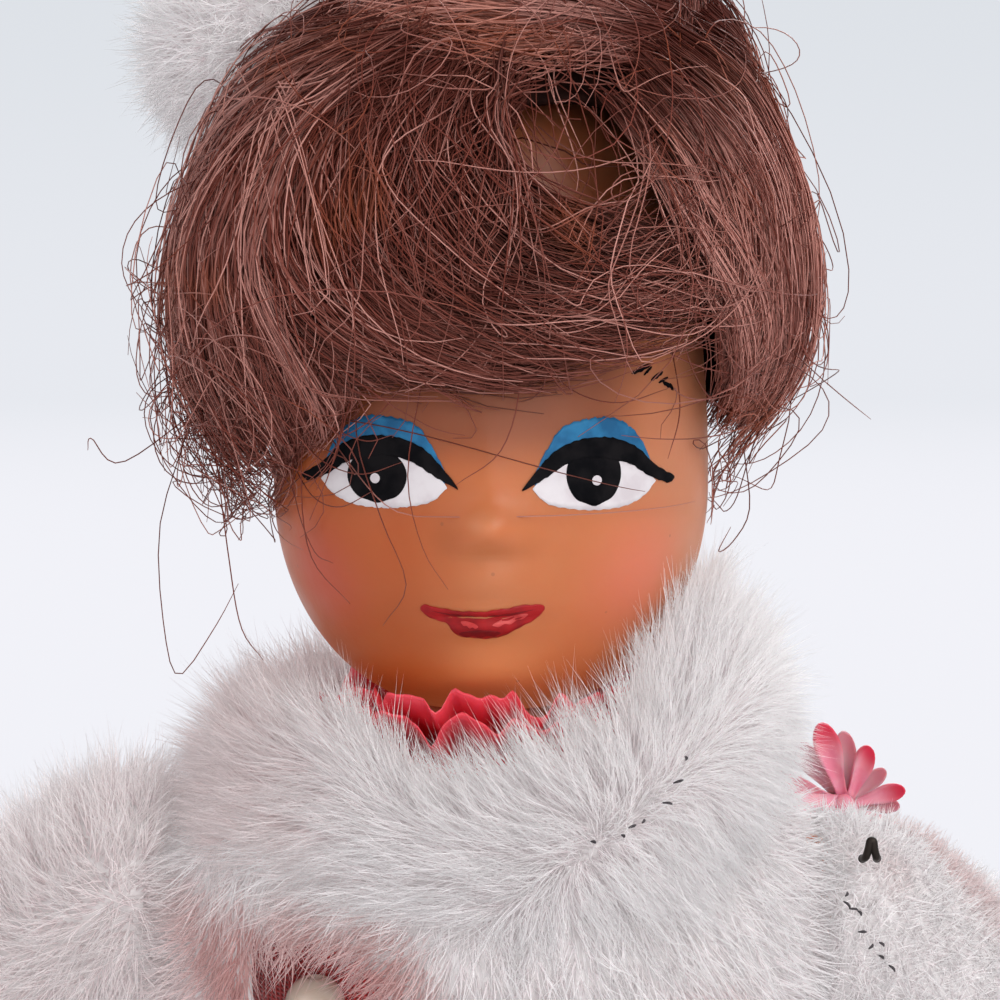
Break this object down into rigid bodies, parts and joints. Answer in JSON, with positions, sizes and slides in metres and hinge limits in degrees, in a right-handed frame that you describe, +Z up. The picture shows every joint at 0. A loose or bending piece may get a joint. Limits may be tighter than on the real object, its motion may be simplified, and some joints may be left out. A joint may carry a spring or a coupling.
{
  "type": "safety pin doll",
  "caption": "Small craft doll with a turning vinyl head, auburn wig, white fur coat and a standing skirt of beaded safety pins on wire rings.",
  "frame": {"origin": "centre of the doll's footprint on the table", "axes": "+Z up, the doll faces -Y, +X is the doll's left"},
  "size_m": [0.0884, 0.0656, 0.1369],
  "materials": {
    "vinyl": "satin",
    "plastic": "satin",
    "hair": "satin",
    "fur": "matte",
    "red_cloth": "matte",
    "pink_plastic": "gloss",
    "pearl": "gloss",
    "pin_steel": "polished",
    "ring_steel": "satin",
    "dark_steel": "gloss"
  },
  "bodies": {
    "body": {"body_front": "plastic", "body_back": "plastic", "coat_body": "fur", "coat_collar": "fur", "bodice": "red_cloth", "neck_ruffle": "red_cloth", "shoulder_flower": "pink_plastic", "pearl_button": "pearl", "waist_ring": "ring_steel", "middle_ring": "ring_steel", "hem_ring": "ring_steel", "upper_pin_01": "pin_steel", "upper_pin_02": "pin_steel", "upper_pin_03": "pin_steel", "upper_pin_04": "pin_steel", "upper_pin_05": "pin_steel", "upper_pin_06": "pin_steel", "upper_pin_07": "pin_steel", "upper_pin_08": "pin_steel", "upper_pin_09": "pin_steel", "upper_pin_10": "pin_steel", "upper_pin_11": "pin_steel", "lower_pin_01": "pin_steel", "lower_pin_02": "pin_steel", "lower_pin_03": "pin_steel", "lower_pin_04": "pin_steel", "lower_pin_05": "pin_steel", "lower_pin_06": "pin_steel", "lower_pin_07": "pin_steel", "lower_pin_08": "pin_steel", "lower_pin_09": "pin_steel", "lower_pin_10": "pin_steel", "lower_pin_11": "pin_steel", "lower_pin_12": "pin_steel", "lower_pin_13": "pin_steel", "lower_pin_14": "pin_steel", "lower_pin_15": "pin_steel", "lower_pin_16": "pin_steel", "lower_pin_17": "pin_steel", "lower_pin_18": "pin_steel", "lower_pin_19": "pin_steel", "lower_pin_20": "pin_steel", "lower_pin_21": "pin_steel", "lower_pin_22": "pin_steel"},
    "head": {"head_shell": "vinyl", "hair_crown": "hair", "hair_back": "hair", "hair_left": "hair", "hair_right": "hair", "hair_fringe": "hair", "fur_hat": "fur"},
    "left_arm": {"left_arm": "vinyl", "left_sleeve": "fur", "dress_hook": "dark_steel"},
    "right_arm": {"right_arm": "vinyl", "right_sleeve": "fur"}
  },
  "joints": [
    {"name": "head_turn", "type": "hinge", "parent": "body", "child": "head", "pos_m": [0, 0, 0.097], "axis": [0, 0, 1], "range_deg": [-90, 90]},
    {"name": "left_arm_swing", "type": "hinge", "parent": "body", "child": "left_arm", "pos_m": [0.0166, 0, 0.08522], "axis": [-1, 0, 0], "range_deg": [-40, 130]},
    {"name": "right_arm_swing", "type": "hinge", "parent": "body", "child": "right_arm", "pos_m": [-0.0166, 0, 0.08522], "axis": [-1, 0, 0], "range_deg": [-40, 130]}
  ]
}
